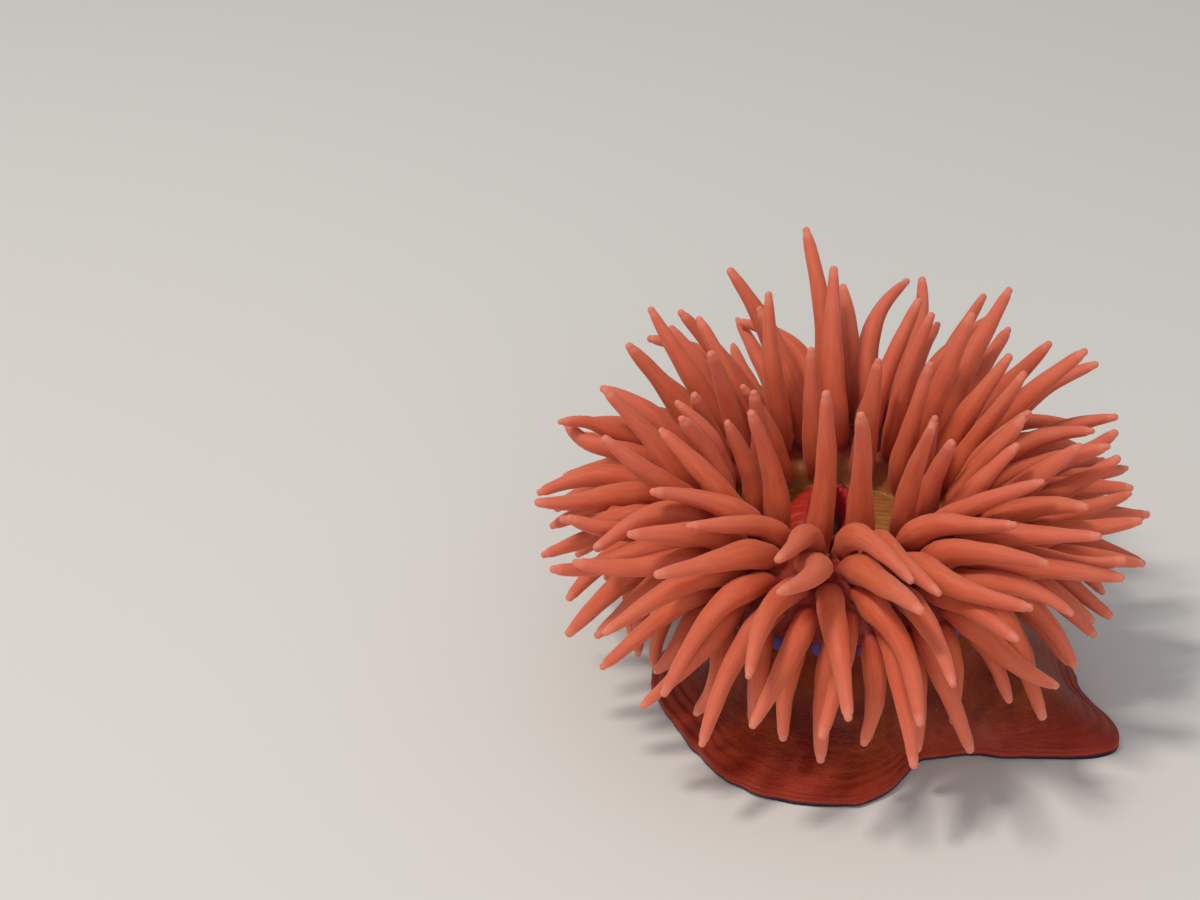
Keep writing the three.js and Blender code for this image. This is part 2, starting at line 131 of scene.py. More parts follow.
def smooth_step(low, high, value):
    t = np.clip((np.asarray(value, float) - low) / (high - low), 0, 1)
    return t * t * (3 - 2 * t)


def foot_radius(bearing):
    radius = np.full(np.shape(bearing), FOOT_RADIUS)
    for lobe, growth, spread in FOOT_LOBES:
        away = ((bearing - lobe + 180) % 360 - 180) / spread
        radius = radius + growth * np.exp(-(away**2))
    return radius


def lean_at(height):
    share = smooth_step(0, COLUMN_TOP, height)
    return CROWN_CENTRE[0] * share, CROWN_CENTRE[1] * share


def column_radius(height, bearing):
    fall = np.exp(-np.maximum(0, height - FOOT_EDGE) / SKIRT_FALL)
    flare = (COLLAR_RADIUS - WAIST_RADIUS) * smooth_step(6, COLLAR_TOP, height)
    return WAIST_RADIUS + (foot_radius(bearing) - WAIST_RADIUS) * fall + flare


def rim_point(turn):
    a = np.radians(turn)
    return RIM_RADIUS + RIM_HALF[0] * np.cos(a), RIM_HEIGHT + RIM_HALF[1] * np.sin(a)


def in_crown(radius, bearing, height, oval=CROWN_OVAL):
    a = np.radians(bearing)
    x = CROWN_CENTRE[0] + oval[0] * radius * np.cos(a)
    y = CROWN_CENTRE[1] + oval[1] * radius * np.sin(a)
    return np.stack(np.broadcast_arrays(x, y, height), -1)


foot_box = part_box("pedal_disc")
print("foot in the frame, mm", [round((foot_box[1][k] - foot_box[0][k]) / MM, 1) for k in range(3)])
edge = [foot_radius(np.arange(360)) * f(np.radians(np.arange(360))) for f in (np.cos, np.sin)]
print("foot from the dimensions, mm", [round(float(np.ptp(side)), 1) for side in edge])

# %% [markdown]
# ## Where each tentacle grows and points
# The tentacles stand in six whorls. Each one leaves the rim at right angles and bends towards its own aim:
# up over the mouth inside, out at the back and sides, and down at the front. A repeatable scatter makes each
# a little unlike its neighbours. The lines could be drawn by hand, but one rule gives all of them, and the
# solids follow it too.

# %% Grow the middle lines
# count, turn on the rim's section, first bearing past the front, half width, length and rise at the back and
# at the front, how soon the front's rise gives way to the back's, how much lower the left side hangs, and how
# uneven the whorl is
WHORLS = [
    (12, 151, 17.5, 1.3, (13, 14), (72, 80), 5, 0, 0.6),
    (24, 114, 5, 1.35, (15, 12), (66, 8), 3.5, 0, 0.8),
    (24, 80, 7.5, 1.48, (16, 12.5), (54, -4), 2, 4, 1),
    (36, 50, 0, 1.32, (14.5, 12.5), (36, -22), 1.2, 16, 1),
    (36, 22, 5, 1.2, (12.5, 12), (17, -52), 1, 22, 1),
    (36, -6, 2.5, 1.12, (10.5, 9.5), (-4, -84), 1, 24, 1),
]
PARTING = 26
BENT_FROM, BENT_BY = -0.25, 0.5  # the shares of the length between which a tentacle turns to its aim
SHORTER_LEFT, SHORTER_RIGHT = 0.26, 0.26
UNEVEN = {"heading": 19, "rise": 17, "sway": 0.3, "curl": 0.9, "length": 0.13}
TIP_HALF_WIDTH = 0.43
STEPS = 16
GAP = 0.3


def scatter(index, salt):
    wave = np.sin(index * 12.9898 + salt * 78.233) * 43758.5453
    return 2 * (wave - np.floor(wave)) - 1


def half_width_at(half_width, share):
    taper = TIP_HALF_WIDTH + (half_width - TIP_HALF_WIDTH) * (1 - np.power(share, 1.05))
    return taper * (0.8 + 0.2 * smooth_step(0, 0.22, share))


def unit(vectors):
    return vectors / np.linalg.norm(vectors, axis=-1, keepdims=True)


roots = []  # whorl, bearing and number of each tentacle
for whorl, (count, *_) in enumerate(WHORLS):
    for place in range(count):
        roots.append((whorl, FRONT + WHORLS[whorl][2] + 360 * place / count, len(roots)))
whorl_of, bearing_of, number_of = (np.array(column) for column in zip(*roots))


def of_whorl(k):
    return np.array([WHORLS[whorl][k] for whorl in whorl_of], float)


turn_of, thick_of, sharp_of, droop_of, uneven_of = (of_whorl(k) for k in (1, 3, 6, 7, 8))
length_ends, rise_ends = of_whorl(4), of_whorl(5)

a = np.radians(bearing_of)
nearness = 0.5 - 0.5 * np.sin(a)
leftness = np.maximum(0, -np.cos(a)) ** 2
rightness = np.maximum(0, np.cos(a)) ** 2
root_point = in_crown(rim_point(turn_of)[0], bearing_of, rim_point(turn_of)[1])
out, up = np.cos(np.radians(turn_of)) / RIM_HALF[0], np.sin(np.radians(turn_of)) / RIM_HALF[1]
root_normal = unit(np.stack([out * np.cos(a) / CROWN_OVAL[0], out * np.sin(a) / CROWN_OVAL[1], up], -1))

parted = bearing_of + PARTING * np.sin(2 * np.radians(bearing_of + 90))
heading = np.radians(parted + UNEVEN["heading"] * uneven_of * scatter(number_of, 2))
rise = rise_ends[:, 0] + (rise_ends[:, 1] - rise_ends[:, 0]) * nearness**sharp_of - droop_of * leftness
lift = np.radians(rise + UNEVEN["rise"] * uneven_of * scatter(number_of, 3))
aim = np.stack([np.cos(lift) * np.cos(heading), np.cos(lift) * np.sin(heading), np.sin(lift)], -1)
side = np.stack([-np.sin(heading), np.cos(heading), np.zeros(len(a))], -1)
sway = UNEVEN["sway"] * uneven_of * scatter(number_of, 4)
curl = UNEVEN["curl"] * uneven_of * scatter(number_of, 5) ** 3
dip = UNEVEN["curl"] * uneven_of * scatter(number_of, 7) ** 3
length_of = length_ends[:, 0] + (length_ends[:, 1] - length_ends[:, 0]) * nearness
length_of = length_of * (1 - SHORTER_LEFT * leftness - SHORTER_RIGHT * rightness)
length_of = length_of * (1 + UNEVEN["length"] * scatter(number_of, 6))
step_of = length_of / STEPS

lines = np.zeros((len(a), STEPS + 1, 3))
lines[:, 0] = root_point
for k in range(1, STEPS + 1):
    share = (k - 0.5) / STEPS
    bent = smooth_step(BENT_FROM, BENT_BY, share)
    way = root_normal * (1 - bent) + aim * bent
    late = smooth_step(0.5, 1, share)
    way = way + side * (sway * math.sin(2 * math.pi * share) + curl * late)[:, None]
    way[:, 2] += dip * late
    lines[:, k] = lines[:, k - 1] + unit(way) * step_of[:, None]
shortest, longest = (round(float(end), 1) for end in (length_of.min(), length_of.max()))
print("tentacles", len(lines), "lengths mm", shortest, "to", longest)

# %% [markdown]
# ## Settle the tentacles against each other
# Lines drawn by a rule run through one another. Soft tentacles push each other aside, so every point that
# comes too near a point of another tentacle, the column or the floor is moved off a little, many times over,
# while each tentacle keeps its length and its root. A cloth or soft-body simulation would do too, but this
# is quicker, and the solids used the same steps.

# %% Push the lines apart
SETTLING_ROUNDS = 120
EVENING = 0.12
PUSH_HERE, PUSH_BESIDE = 0.3, 0.15  # the share of a push that its own point takes, and each one beside it
LOOK_AGAIN = 10  # rounds between two searches for neighbours
SEARCH_MARGIN = 2.5

back, ahead = [0, *range(STEPS)], [*range(1, STEPS + 1), STEPS]  # the points beside each point
shares = np.arange(STEPS + 1) / STEPS
widths = half_width_at(thick_of[:, None], shares[None, :])
point_owner = np.repeat(np.arange(len(lines)), STEPS - 1)
point_width = widths[:, 2:].ravel()


def neighbours(points):
    pairs = []
    for start in range(0, len(points), 300):
        block = points[start : start + 300]
        square = ((block[:, None, :] - points[None, :, :]) ** 2).sum(-1)
        reach = point_width[start : start + 300, None] + point_width[None, :] + SEARCH_MARGIN
        near = (square < reach**2) & (point_owner[start : start + 300, None] < point_owner[None, :])
        first, second = np.nonzero(near)
        pairs.append(np.stack([first + start, second]))
    return np.concatenate(pairs, 1)


def clear_of_body(points, half_width):
    push = np.zeros_like(points)
    room = half_width + 2 * GAP
    push[..., 2] += np.maximum(0, room - points[..., 2])
    lean_x, lean_y = lean_at(points[..., 2])
    x, y = points[..., 0] - lean_x, points[..., 1] - lean_y
    radius = np.hypot(x, y)
    wall = column_radius(points[..., 2] - 0.7 * half_width, np.degrees(np.arctan2(y, x))) + room + 0.6
    inside = (radius < wall) & (points[..., 2] <= COLLAR_TOP + 0.5)
    amount = np.where(inside, 0.5 * (wall - radius) / radius, 0)
    push[..., 0] += x * amount
    push[..., 1] += y * amount
    return push


def settle():
    for number in range(SETTLING_ROUNDS):
        points = lines[:, 2:].reshape(-1, 3)
        if number % LOOK_AGAIN == 0:
            one, other = neighbours(points)
        apart = points[one] - points[other]
        away = np.sqrt((apart**2).sum(-1)) + 1e-9
        room = point_width[one] + point_width[other] + 1.15 * GAP
        push = apart * (np.maximum(0, 0.5 * (room - away)) / away)[:, None]
        total = np.zeros_like(points)
        for k in range(3):
            gained = np.bincount(one, push[:, k], len(points))
            total[:, k] = gained - np.bincount(other, push[:, k], len(points))
        pushes = clear_of_body(lines, widths)
        pushes[:, 2:] += total.reshape(len(lines), STEPS - 1, 3)
        spread = PUSH_HERE * pushes
        spread += PUSH_BESIDE * (pushes[:, back] + pushes[:, ahead])
        middle = (lines[:, back] + lines[:, ahead]) / 2 - lines
        spread[:, :STEPS] += EVENING * middle[:, :STEPS]
        lines[:, 2:] += spread[:, 2:]
        for k in range(2, STEPS + 1):
            way = unit(lines[:, k] - lines[:, k - 1])
            lines[:, k] = lines[:, k - 1] + way * step_of[:, None]


settle()
lowest = float((lines[..., 2] - widths).min())
print("lowest tentacle point above the floor, mm", round(lowest, 2))

# %% [markdown]
# ## One skin for the whole animal
# The real anemone has a single soft skin, from the sole up the column, over the rim and every tentacle, and
# down into the throat. So it is one mesh here too, made ring by ring. Subdividing a coarse cage would round
# it as well, but rings give every point its own place along its tentacle, and the colours need that later.
# Each point carries marks that say what it belongs to, most of them numbers between 0 and 1.

# %% Collect points, faces and marks
MARKS = {
    "along": 1,  # from a tentacle's root to its tip
    "tone": 1,  # how light this tentacle is, the disc's rays, and the ends of the lips
    "bead": 1,
    "hem": 1,  # the foot's edge
    "climb": 1,  # from the sole up to the rim
    "oral": 1,  # how far the skin is the disc's
    "lip": 1,
    "throat": 1,  # how deep in it
    "lay": 3,  # a place that runs round and along the part, for streaks
}
WEARS = ("column_skin", "tentacle_skin", "disc_skin")
points, marks = [], {name: [] for name in MARKS}
faces, face_maps, face_wears = [], [], []


def add_points(place, **given):
    place = np.asarray(place, float).reshape(-1, 3)
    first = sum(len(group) for group in points)
    points.append(place)
    for name, size in MARKS.items():
        value = np.asarray(given.get(name, 0.0), float)
        shape = (len(place),) if size == 1 else (len(place), size)
        marks[name].append(np.broadcast_to(value, shape))
    return np.arange(first, first + len(place))


def add_faces(corners, map_places, wear):
    faces.extend(np.asarray(corners).tolist())
    face_maps.append(np.asarray(map_places, float).reshape(-1, 2))
    face_wears.extend([WEARS.index(wear)] * len(corners))


def map_corners(*corners):
    """Places of faces on the map: for each corner, how far across and how far up it lies."""
    return np.stack([np.stack(np.broadcast_arrays(*corner), -1) for corner in corners], 1)


def round_ring(count, left, right):
    """Each point of a closed ring and its next one, and how far across the map they lie."""
    i = np.arange(count)
    return i, (i + 1) % count, left + (right - left) * i / count, left + (right - left) * (i + 1) / count


def join_rings(rings, map_rows, left, right, wear):
    """Quads between closed rings of as many points. map_rows says how far up the map each ring lies."""
    i, j, u, next_u = round_ring(len(rings[0]), left, right)
    for low, high, below, above in zip(rings, rings[1:], map_rows, map_rows[1:]):
        place = map_corners((u, below), (next_u, below), (next_u, above), (u, above))
        add_faces(np.stack([low[i], low[j], high[j], high[i]], -1), place, wear)


def close_ring(ring, pole, map_ring, map_pole, left, right, wear, over=True):
    """A fan of triangles from a ring to one point. over says if the point comes after the ring."""
    i, j, u, next_u = round_ring(len(ring), left, right)
    fan = np.stack([ring[i], ring[j], np.full(len(ring), pole)], -1)
    place = map_corners((u, map_ring), (next_u, map_ring), ((u + next_u) / 2, map_pole))
    if not over:
        fan, place = fan[:, ::-1], place[:, ::-1]
    add_faces(fan, place, wear)


print("marks on every point", *MARKS)

# %% [markdown]
# ## Foot, column and collar
# The sole is a broad foot that clings to the rock. Its edge is thin and a little frilled, and the skin above
# it sweeps up into a smooth column with faint folds. Under the tentacles lies the collar with its beads, the
# stinging warts that give the animal its name, and then a deep groove. A turned shape, edited by hand, would
# do, but here the folds and beads are simply added to the radius of each ring.

# %% Make the body's rings
COLUMNS = 288
BEARINGS = FRONT + np.arange(COLUMNS) * 360 / COLUMNS
TURN = np.radians(BEARINGS)
BODY_MAP = (0.006, 0.142)  # the body's band on the map, low and high
SOLE_BAND = 0.009
SOLE_RISE = 0.14  # the share of the rest of the band that the sole takes
LAST_STEP = 0.6  # from the groove to the rim
BODY_LAY = 0.6  # the body's pigment is laid out at this share of its size
SOLE_SHARES = (0.3, 0.6, 0.85)
HEM = [(0, 0.35), (0.1, 0.13), (0.24, 0.03), (0.42, 0.0), (0.62, 0.03), (0.82, 0.09)]  # height, inset
BEAD_HEIGHT, BEAD_HALF = 11.85, 1.25
FOSSE_RADII = (13.75, 13.3, 12.9, 13.2, 13.9, 14.8, 15.55)  # the groove between the collar and the rim
FOSSE_HEIGHTS = (12.64, 12.68, 12.76, 12.86, 12.88, 12.86, 12.84)
WALL_HEIGHTS = [*np.arange(0.92, 2.65, 0.09), *np.arange(2.75, 3.3, 0.2), *np.arange(3.4, 11.1, 0.36)]


def waves(height, *parts):
    """Uneven folds round the body: each part is a count round it, a size and a lean with height."""
    total = np.zeros(COLUMNS)
    for count, size, lean, shift in parts:
        total = total + size * np.sin(count * TURN + lean * height + shift)
    return total


def frill(height):
    low = math.exp(-height / 1.6)
    fine = waves(height, (31, 0.07, 0.5, 1.0), (47, 0.055, -0.6, 2.2), (73, 0.035, 0.3, 0.4))
    broad = waves(height, (5, 0.1, 0.12, 0.7), (9, 0.11, -0.1, 2.9), (14, 0.07, 0.2, 5.1))
    creases = waves(height, (23, 0.03, 0.9, 1.7), (37, 0.02, -0.7, 0.2))
    return low * fine + (0.35 + 0.65 * low) * broad + creases


def edge_wrinkles(height):
    """How far the skin inside the foot's edge is lifted, in wrinkles along it."""
    phase = 15.0 * (height - 0.9) + waves(height, (3, 1.1, 0, 1.0), (7, 0.8, 0, 2.0), (13, 0.5, 0, 5.0))
    strength = 0.06 + waves(height, (5, 0.045, 0, 2.0), (2, 0.02, 0, 0.5))
    return strength * np.sin(phase) * (smooth_step(0.84, 1.05, height) - smooth_step(1.5, 2.6, height))


def ring_at(height, radius):
    lean_x, lean_y = lean_at(height)
    lifted = height + (edge_wrinkles(height) if height > 0.84 else np.zeros(COLUMNS))
    return np.stack([lean_x + radius * np.cos(TURN), lean_y + radius * np.sin(TURN), lifted], -1)


def bead_at(height):
    """How far the beads stand out at this height, from 0 to 1."""
    apart = (BEARINGS * BEADS / 360 + 0.5) % 1 - 0.5
    sideways = COLLAR_RADIUS * np.radians(apart * 360 / BEADS)
    square = 1 - (sideways**2 + (height - BEAD_HEIGHT) ** 2) / BEAD_HALF**2
    return np.sqrt(np.maximum(0, square))


body_rows = []  # place, marks
for share in SOLE_SHARES:
    body_rows.append((ring_at(0, share * (foot_radius(BEARINGS) - HEM[0][1])), {}))
for height, inset in HEM:
    radius = column_radius(height, BEARINGS) - inset + frill(height) * min(1, height / 0.2)
    body_rows.append((ring_at(height, radius), {"hem": math.exp(-(((height - 0.3) / 0.4) ** 2))}))
for height in WALL_HEIGHTS:
    body_rows.append((ring_at(height, column_radius(height, BEARINGS) + frill(height)), {}))
for height in np.arange(11.15, COLLAR_TOP + 0.05, 0.15):
    bead = bead_at(height)
    top = 0.4 * float(smooth_step(12.0, COLLAR_TOP, height))
    radius = np.maximum(COLLAR_RADIUS - top + 0.4 * frill(height), COLLAR_RADIUS - 0.35 + BEAD_SWELL * bead)
    body_rows.append((ring_at(height, radius), {"bead": smooth_step(0.15, 0.75, bead)}))
for radius, height in zip(FOSSE_RADII, FOSSE_HEIGHTS):
    share = float(smooth_step(13, RIM_RADIUS + RIM_HALF[0], radius)) if height > 12.8 else 0.0
    oval = [1 + (side - 1) * share for side in CROWN_OVAL]
    body_rows.append((in_crown(radius, BEARINGS, height, oval), {}))
print("body rings", len(body_rows), "of", COLUMNS, "points")

# %% [markdown]
# ## The rim is shared out between the tentacles
# Every tentacle owns a patch of the rim. Patches meet in sunken lines, which become the dark creases between
# the roots. The lines across and along the rim are made first, so that neighbours share the same points.

# %% Make the lines between the patches
CREASE = 0.22  # how deep the creases lie
ORAL_FROM, ORAL_TO = 110, 165  # the turns between which the rim's skin becomes the disc's
partings = [(WHORLS[n][1] + WHORLS[n + 1][1]) / 2 for n in range(len(WHORLS) - 1)]
LINES_ROUND = [RIM_OUTSIDE, *partings[::-1], RIM_INSIDE]  # turns on the rim's section, outside to inside


def rim_skin(turn, bearing, sunk=0.0):
    a = np.radians(turn)
    radius = RIM_RADIUS + (RIM_HALF[0] - sunk) * np.cos(a)
    height = RIM_HEIGHT + (RIM_HALF[1] - sunk) * np.sin(a)
    return in_crown(radius, bearing, height)


def oral_at(turn):
    return smooth_step(ORAL_FROM, ORAL_TO, turn)


rings = []
for n, (place, own) in enumerate(body_rows):
    rings.append(add_points(place, climb=(n + 1) / len(body_rows), lay=place * BODY_LAY, **own))
round_lines = []
for turn in LINES_ROUND:
    place = rim_skin(turn, BEARINGS, CREASE)
    round_lines.append(add_points(place, climb=1, oral=oral_at(turn), lay=place * BODY_LAY))
rings.append(round_lines[0])

sole_pole = add_points([(0, 0, 0)])[0]
lengths = [0.0]
for low, high in zip(body_rows, body_rows[1:]):
    lengths.append(lengths[-1] + float(np.linalg.norm(high[0] - low[0], axis=1).mean()))
lengths.append(lengths[-1] + LAST_STEP)
climb = np.interp(lengths, [0, lengths[len(SOLE_SHARES)], lengths[-1]], [0, SOLE_RISE, 1])
body_map = BODY_MAP[0] + SOLE_BAND + (BODY_MAP[1] - BODY_MAP[0] - SOLE_BAND) * climb
close_ring(rings[0], sole_pole, body_map[0], BODY_MAP[0], 0, 1, "column_skin", over=False)
join_rings(rings, body_map, 0, 1, "column_skin")
print("points so far", sum(len(group) for group in points))

# %% [markdown]
# ## Tentacles
# A tentacle is a hollow tapering finger with a blunt, paler tip that ends in a tiny knob. It leaves its patch
# with a soft neck and is fullest a little further on. Its rings follow the settled middle line, on a frame
# that is carried along without twisting. A bevelled curve would be quicker to write, but its root would show
# a seam.

# %% Shape a tentacle's rings
SIDES = 14
ROOT_SHARES = [0.0, 0.02, 0.045, 0.075, 0.11]
TIP_SHARES = [0.925, 0.945, 0.96, 0.973, 0.985, 0.995]
RING_SHARES = np.array([*ROOT_SHARES, *np.linspace(0.15, 0.9, 15), *TIP_SHARES])
DOME = np.radians([0, 28, 54, 74])  # the closed end
NECK_SHARE = 0.13  # the length over which the root turns from patch to round
around = np.arange(SIDES) * 2 * math.pi / SIDES


def along_line(line, shares):
    """Places and directions on a smooth curve through the middle line's points."""
    k = np.clip(shares * STEPS, 0, STEPS - 1e-6)
    i = k.astype(int)
    t = (k - i)[:, None]
    ends = np.vstack([2 * line[0] - line[1], line, 2 * line[-1] - line[-2]])
    p0, p1, p2, p3 = (ends[i + n] for n in range(4))
    bend, twist = 2 * p0 - 5 * p1 + 4 * p2 - p3, 3 * p1 - p0 - 3 * p2 + p3
    place = 0.5 * (2 * p1 + (p2 - p0) * t + bend * t**2 + twist * t**3)
    way = 0.5 * ((p2 - p0) + 2 * bend * t + 3 * twist * t**2)
    return place, unit(way)


def carried_frames(ways, across):
    """A sideways and an upward direction at each ring, carried along without twisting."""
    frames = []
    for way in ways:
        across = across - way * across.dot(way)
        across = across / np.linalg.norm(across)
        frames.append((across, np.cross(way, across)))
    return np.array(frames)


def uneven_width(number, shares):
    """A slow change of width along a tentacle, a few hundredths of it."""
    shift = 3.0 * number
    return 1 + 0.045 * np.sin(9 * shares + shift) + 0.025 * np.sin(23 * shares + 1.7 * shift)


def tentacle_widths(number, shares):
    width = half_width_at(thick_of[number], shares) * uneven_width(number, shares)
    knob = 0.5 + 0.5 * scatter(number, 11)
    neck = np.exp(-(((shares - 0.955) / 0.018) ** 2))
    nipple = smooth_step(0.96, 0.985, shares)
    return width * (1 - 0.07 * neck) * (1 - (0.1 + 0.22 * knob) * nipple)


def tentacle_rings(number):
    """The rings of one tentacle, from the rim to the dome, and how far along each lies."""
    place, way = along_line(lines[number], RING_SHARES)
    width = tentacle_widths(number, RING_SHARES)
    way[0] = root_normal[number]
    end = width[-1]
    dome_place = lines[number][-1] + way[-1] * (np.sin(DOME)[:, None] * end)
    place = np.vstack([place, dome_place])
    width = np.concatenate([width, end * np.cos(DOME)])
    way = np.vstack([way, np.repeat(way[-1:], len(DOME), 0)])
    share = np.concatenate([RING_SHARES, np.ones(len(DOME))])
    a = math.radians(bearing_of[number])
    frames = carried_frames(way, np.array([-math.sin(a), math.cos(a), 0.0]))
    oval = 1 + 0.07 * np.cos(2 * around + 5.0 * number) + 0.02 * np.cos(3 * around + 2.0 * number)
    reach = width[:, None, None] * oval[None, :, None]
    across, over = frames[:, 0, None, :], frames[:, 1, None, :]
    circle = np.cos(around)[None, :, None] * across + np.sin(around)[None, :, None] * over
    rings = place[:, None, :] + reach * circle
    return rings, share, place[-1] + way[-1] * end * (1 - math.sin(DOME[-1]))


print("rings on each tentacle", len(RING_SHARES) + len(DOME), "of", SIDES, "points")

# %% [markdown]
# ## A zip between patch and root
# The patch's outline has its own number of points, and the tentacle's root another. The two loops run the
# same way round, so a zip of triangles joins them: each step goes on along the loop that is behind. Loops of
# as many points would be simpler to join, but the patches differ in width.

# %% Zip two loops
FULL_TURN = 2 * math.pi
SIDE_POINTS = 3


def zip_loops(outer_angles, inner_angles):
    """Steps round two loops: pairs of places on them, and which loop moves on next."""
    i, j, steps = 0, 0, []
    outer = [*outer_angles, FULL_TURN]
    inner = [*inner_angles, FULL_TURN]
    while i < len(outer) - 1 or j < len(inner) - 1:
        outer_next = j == len(inner) - 1 or (i < len(outer) - 1 and outer[i + 1] <= inner[j + 1])
        steps.append((i, j, outer_next))
        i, j = (i + 1, j) if outer_next else (i, j + 1)
    return steps


def sew_root(loop, angles, ring, left, right, low, high):
    """Triangles from a patch's outline to the first ring of its tentacle."""
    outer_u, inner_u = ([*(left + (right - left) * turned / FULL_TURN), right] for turned in (angles, around))
    triangles, places = [], []
    for i, j, outer_next in zip_loops(angles, around):
        trio = [(loop[i % len(loop)], (outer_u[i], low)), (ring[j % SIDES], (inner_u[j], high))]
        if outer_next:
            third = (loop[(i + 1) % len(loop)], (outer_u[i + 1], low))
        else:
            third = (ring[(j + 1) % SIDES], (inner_u[j + 1], high))
        trio.insert(1, third)
        triangles.append([point for point, _ in trio])
        places.append([place for _, place in trio])
    add_faces(triangles, places, "tentacle_skin")


def patch_outline(low, high, sides, start, width, tall):
    """The points round a patch and their angles, from the middle of its right side."""
    right, left = sides[(start + width) % COLUMNS], sides[start % COLUMNS]
    columns = (start + np.arange(width, -1, -1)) % COLUMNS
    across, edge, flat = np.linspace(1, -1, width + 1), np.ones(width + 1), np.ones(SIDE_POINTS)
    loop = [*right, *high[columns], *left[::-1], *low[columns[::-1]]]
    x = np.concatenate([flat, across, -flat, across[::-1]])
    y = np.concatenate([tall, edge, tall[::-1], -edge])
    middle = SIDE_POINTS // 2
    return np.roll(loop, -middle), np.roll(np.mod(np.arctan2(y, x), FULL_TURN), -middle)


print("triangles in a zip of 4 and", SIDES, "points", len(zip_loops(around[:4], around)))

# %% [markdown]
# ## Plant the tentacles
# The root starts as an oval on the rim, inside its patch, and turns into the tentacle's own round section
# over the first eighth of the length. So the neck swells out of the rim as soft tissue does. A tentacle that
# ended inside the rim would be simpler, but its seam would show. Each one gets its own strip of the map.

# %% Sew the tentacles in
TENTACLE_MAP = (0.2, 1.0)
MAP_COLUMNS, MAP_ROWS, MAP_MARGIN = 14, 12, 0.03
GIRTH_LAY, LENGTH_LAY, LAY_APART = 2.2, 0.35, 40.0  # streaks: many round a tentacle, drawn out along it
ROOT_ROOM = 0.86  # the share of its patch that a root may fill
TUBE_STRIP = (0.06, 0.98)  # where in a strip's height the rings lie


def root_ring(number, half_across, down, up):
    """The loop on the rim that a tentacle rises from, from the degrees its patch reaches."""
    a = math.radians(turn_of[number])
    slide = math.radians(1) * math.hypot(RIM_HALF[0] * math.sin(a), RIM_HALF[1] * math.cos(a))
    swing = math.radians(1) * rim_point(turn_of[number])[0]
    reach = 1.1 * half_width_at(thick_of[number], 0)
    wide = min(reach / swing, ROOT_ROOM * half_across)
    above, below = (min(reach / slide, ROOT_ROOM * room) for room in (up, down))
    turn = turn_of[number] + np.where(np.sin(around) > 0, above, below) * np.sin(around)
    return rim_skin(turn, bearing_of[number] + wide * np.cos(around))


def plant(number, root):
    """Adds one tentacle's rings and tip, and says how far along each ring lies."""
    tube, share, tip = tentacle_rings(number)
    neck = smooth_step(0, NECK_SHARE, share)[:, None, None]
    tube = root[None] * (1 - neck) + tube * neck + (1 - neck) * (tube.mean(1) - root.mean(0))[:, None]
    tube[0] = root
    offset = LAY_APART * scatter(number, 12)
    stretch = LENGTH_LAY * length_of[number]
    oral = float(oral_at(turn_of[number]))
    girth = GIRTH_LAY * np.stack([np.cos(around), np.sin(around)], -1)
    own = {"tone": 0.5 + 0.5 * scatter(number, 13), "climb": 1}
    rings = []
    for ring, part in zip(tube, share):
        lay = np.column_stack([girth + offset, np.full(SIDES, part * stretch + offset)])
        rings.append(add_points(ring, along=max(part, 0.001), oral=oral * (1 - part), lay=lay, **own))
    tip_id = add_points([tip], along=1, lay=[offset, offset, stretch + offset], **own)[0]
    return rings, tip_id, share


def strip_on_map(number):
    """A tentacle's strip on the map: its left, right and lower edge, and its height."""
    column, row = number % MAP_COLUMNS, number // MAP_COLUMNS
    tall = (TENTACLE_MAP[1] - TENTACLE_MAP[0]) / MAP_ROWS
    left, right = ((column + edge) / MAP_COLUMNS for edge in (MAP_MARGIN, 1 - MAP_MARGIN))
    return left, right, TENTACLE_MAP[0] + tall * (row + MAP_MARGIN), tall * (1 - 2 * MAP_MARGIN)


def plant_whorl(whorl, number):
    """Plants one whorl's tentacles, of which number is the first."""
    count, turn, first = WHORLS[whorl][:3]
    lines_of = slice(len(WHORLS) - whorl - 1, len(WHORLS) - whorl + 1)
    (low_turn, high_turn), (low, high) = LINES_ROUND[lines_of], round_lines[lines_of]
    width = COLUMNS // count
    start = round(first * COLUMNS / 360 - width / 2)
    side_turns = np.array([(low_turn + turn) / 2, turn, (turn + high_turn) / 2])
    tall = np.interp(side_turns, [low_turn, turn, high_turn], [-1, 0, 1])
    sides = {}
    for column in (start + np.arange(count) * width) % COLUMNS:
        where = rim_skin(side_turns, FRONT + column * 360 / COLUMNS, CREASE)
        sides[column] = add_points(where, climb=1, oral=oral_at(side_turns), lay=where * BODY_LAY)
    for place in range(count):
        root = root_ring(number + place, 180 / count, turn - low_turn, high_turn - turn)
        rings, tip_id, share = plant(number + place, root)
        left, right, base, strip = strip_on_map(number + place)
        v = base + strip * np.linspace(*TUBE_STRIP, len(share))
        loop, angles = patch_outline(low, high, sides, start + place * width, width, tall)
        sew_root(loop, angles, rings[0], left, right, base, v[0])
        join_rings(rings, v, left, right, "tentacle_skin")
        close_ring(rings[-1], tip_id, v[-1], base + strip, left, right, "tentacle_skin")


for whorl in range(len(WHORLS)):
    plant_whorl(whorl, int(np.argmax(whorl_of == whorl)))
print("tentacles sewn in", len(lines), "faces", len(faces))

# %% [markdown]
# ## Disc, lips and throat
# Inside the tentacles lies the bare disc, with fine ridges that run to the mouth. The mouth is a slot between
# two broad folded lips, a little to one side of the disc's middle, and the throat goes straight down into the
# dark. These are rings again, about an oval that turns from the crown's into the lips' and then the slot's.
# Lips modelled by hand would do, but these take all their folds from one wave.

